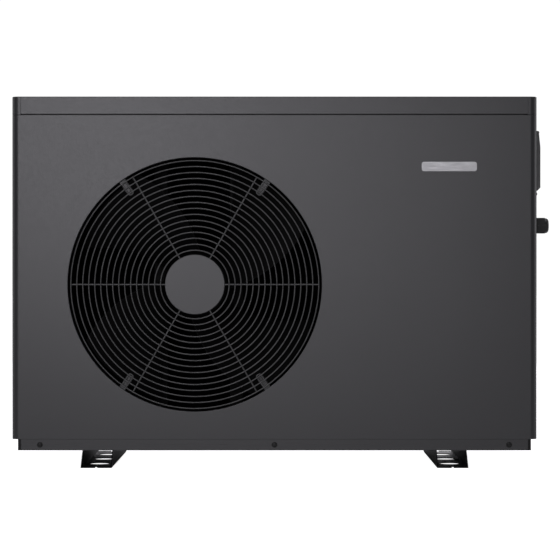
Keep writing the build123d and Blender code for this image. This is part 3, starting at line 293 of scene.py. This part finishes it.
def build_coil():
    """Folded fins in place of the solid coil, a plate at each end and a baffle beside it."""
    low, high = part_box("evaporator_fins")
    middle = (low.z + high.z) / 2
    height = high.z - low.z

    def fins(bm):
        for place, across in coil_stations(low, high):
            along = Vector((-across.y, across.x))
            columns = []
            for fold in range(FIN_FOLDS + 1):
                wave = FIN_WAVE if fold % 2 else -FIN_WAVE
                foot = place + across * (fold / FIN_FOLDS - 0.5) * COIL_THICK + along * wave
                columns.append([bm.verts.new((foot.x, foot.y, z)) for z in (low.z, high.z)])
            for (a, b), (c, d) in zip(columns, columns[1:]):
                bm.faces.new((a, c, d, b))

    def plates(bm):
        end = (high.x - PLATE / 2, high.y - COIL_THICK / 2, middle)
        add_box(bm, end, (PLATE, COIL_THICK, height))
        start = (low.x + COIL_THICK / 2, low.y + PLATE / 2, middle)
        add_box(bm, start, (COIL_THICK, PLATE, height))

    def baffle(bm):
        overlap, gap, fold_gap, fold_width = 0.006, 0.0012, 0.00125, 0.0125
        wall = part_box("partition_plate")[0].x - COIL_CLEARANCE
        start, front = high.x - overlap, high.y - COIL_THICK - gap
        add_box(bm, ((start + wall) / 2, front - PLATE / 2, middle), (wall - start, PLATE, height))
        fold_y = front - fold_gap - fold_width / 2
        add_box(bm, (wall - PLATE / 2, fold_y, middle), (PLATE, fold_width, height))

    # The baffle takes the near-black inner paint: painted shade for the dark inside of the casing.
    add_object("coil_baffle", mesh_of(baffle, "coil_baffle"), "chassis_paint")
    # The fins take the near-black fin colour: painted shade for the coil inside the casing.
    fin_piece = add_object("coil_fins", mesh_of(fins, "coil_fins"), "fin")
    sheet = fin_piece.modifiers.new("thickness", "SOLIDIFY")
    sheet.thickness = FIN_THICK
    sheet.offset = 0.0
    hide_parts("evaporator_fins")
    add_object("coil_tube_plates", mesh_of(plates, "coil_tube_plates"), "zinc")


build_coil()


# ---------------------------------------------------------------- blank name plate
def build_name_plate():
    """A plain pressed plate with no lettering."""
    centre = Vector((0.3095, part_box("front_panel")[0].y, 0.534))
    width, height, depth, corner = 0.098, 0.017, 0.0007, 0.0045

    def plate(bm):
        ring = []
        for cx, cz, start in ((1, 1, 0), (-1, 1, 90), (-1, -1, 180), (1, -1, 270)):
            for step in range(7):
                a = math.radians(start + 15 * step)
                x = centre.x + cx * (width / 2 - corner) + corner * math.cos(a)
                z = centre.z + cz * (height / 2 - corner) + corner * math.sin(a)
                ring.append(bm.verts.new((x, centre.y + 0.0001, z)))
        face = bm.faces.new(ring)
        made = bmesh.ops.extrude_face_region(bm, geom=[face])
        moved = [v for v in made["geom"] if isinstance(v, bmesh.types.BMVert)]
        bmesh.ops.translate(bm, verts=moved, vec=(0, -depth - 0.0001, 0))
        bmesh.ops.recalc_face_normals(bm, faces=bm.faces)

    piece = add_object("name_plate", mesh_of(plate, "name_plate"), "steel", look="satin_plate")
    bevelled(piece, 0.00025)


build_name_plate()


# ---------------------------------------------------------------- dark strip under the cover, painted shade
LIP_DEPTH = 0.006


def build_seam_shade():
    """Near-black rubber strip on the front panel's top lip: painted shade for the dark line of the shadowed
    seam under the cover.
    """
    half, thick, rise, lap = 0.449, 0.0022, 0.007, 0.0003
    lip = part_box("front_panel")[0].y + LIP_DEPTH
    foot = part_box("top_cover")[0].z - lap
    place = (0, lip - thick / 2, foot + rise / 2)
    mesh = mesh_of(lambda bm: add_box(bm, place, (2 * half, thick, rise)), "cover_seam_shade")
    # The strip's near-black rubber is painted shade in the seam under the cover.
    bevelled(add_object("cover_seam_shade", mesh, "rubber"), 0.0006)


build_seam_shade()


# ---------------------------------------------------------------- stage, light and camera
FLOOR_GLOW = 1.0
FLOOR_HALF = 40.0
FLOOR_DROP = 0.0004


def build_stage():
    """A wide pale floor that the camera sees evenly white."""
    mesh = bpy.data.meshes.new("floor")
    signs = ((-1, -1), (1, -1), (1, 1), (-1, 1))
    corners = [(x * FLOOR_HALF, y * FLOOR_HALF, 0) for x, y in signs]
    mesh.from_pydata(corners, [], [(0, 1, 2, 3)])
    floor = bpy.data.objects.new("floor", mesh)
    scene.collection.objects.link(floor)
    floor.location.z = -FLOOR_DROP
    s = Surface("floor_white", (0.75, 0.75, 0.75), 0.9)
    seen = s.spread(s.add("ShaderNodeLightPath").outputs["Is Camera Ray"], 0.0, FLOOR_GLOW, 0.0, 1.0)
    socket(s.shader, "Emission Color").default_value = (1, 1, 1, 1)
    s.link(seen, socket(s.shader, "Emission Strength"))
    mesh.materials.append(s.material)


def build_world(strength):
    """White all round: full brightness where the camera sees it, dimmer as light."""
    world = bpy.data.worlds.new("studio")
    scene.world = world
    world.use_nodes = True
    tree = world.node_tree
    lit = tree.nodes["Background"]
    lit.inputs["Strength"].default_value = strength
    seen = tree.nodes.new("ShaderNodeBackground")
    seen.inputs["Strength"].default_value = 1.05
    path = tree.nodes.new("ShaderNodeLightPath")
    mix = tree.nodes.new("ShaderNodeMixShader")
    for background in (lit, seen):
        background.inputs["Color"].default_value = (1, 1, 1, 1)
    tree.links.new(path.outputs["Is Camera Ray"], mix.inputs["Fac"])
    tree.links.new(lit.outputs["Background"], mix.inputs[1])
    tree.links.new(seen.outputs["Background"], mix.inputs[2])
    tree.links.new(mix.outputs["Shader"], tree.nodes["World Output"].inputs["Surface"])


def soft_light(name, place, target, size, watts):
    """A rectangular softbox aimed at a point."""
    data = bpy.data.lights.new(name, "AREA")
    data.shape = "RECTANGLE"
    data.size, data.size_y = size
    data.energy = watts
    data.color = LIGHT_TINT
    light = bpy.data.objects.new(name, data)
    scene.collection.objects.link(light)
    light.location = place
    aim = Vector(target) - Vector(place)
    light.rotation_euler = aim.to_track_quat("-Z", "Y").to_euler()
    light.visible_camera = False


WORLD_LIGHT = 0.222
LIGHT_TINT = (1.005, 0.985, 1.045)
LIGHTS = {
    "front_wide": ((0.0, -5.5, 0.9), (0.0, -0.17, 0.33), (2.0, 2.0), 28.4),
    "front_left": ((-1.0, -4.2, 0.9), (0.0, -0.17, 0.33), (1.2, 1.2), 14.2),
    "front_high": ((-0.6, -4.0, 1.7), (0.0, -0.17, 0.33), (1.2, 1.2), 7.2),
    "near_left": ((-1.1, -1.6, 1.5), (0.0, -0.17, 0.35), (1.0, 1.0), 3.2),
    "side_left": ((-2.6, 0.4, 0.9), (-0.46, 0.0, 0.33), (1.6, 2.0), 7.4),
    "side_right": ((2.6, 0.4, 0.9), (0.46, 0.0, 0.33), (1.6, 2.0), 10.3),
    "overhead": ((0.0, 0.1, 2.6), (0.0, 0.1, 0.6), (2.4, 1.6), 27.3),
    "rear": ((0.6, 4.2, 1.3), (0.0, 0.17, 0.33), (2.4, 2.0), 30.0),
}


CAMERA_DISTANCE = 3.6
CAMERA_X, CAMERA_Z = 0.0098, 0.333
FRAME_WIDTH = 0.9915
SENSOR = 36.0


def build_camera():
    """Level and straight on, its frame a little wider than the casing."""
    low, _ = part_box("front_panel")
    data = bpy.data.cameras.new("camera")
    data.sensor_width = SENSOR
    data.lens = SENSOR * CAMERA_DISTANCE / FRAME_WIDTH
    camera = bpy.data.objects.new("camera", data)
    scene.collection.objects.link(camera)
    camera.location = (CAMERA_X, low.y - CAMERA_DISTANCE, CAMERA_Z)
    camera.rotation_euler = (math.pi / 2, 0, 0)
    scene.camera = camera


build_stage()
build_world(WORLD_LIGHT)
for light_name, settings in LIGHTS.items():
    soft_light(light_name, *settings)
build_camera()
scene.view_settings.view_transform = "Standard"
scene.view_settings.look = "None"
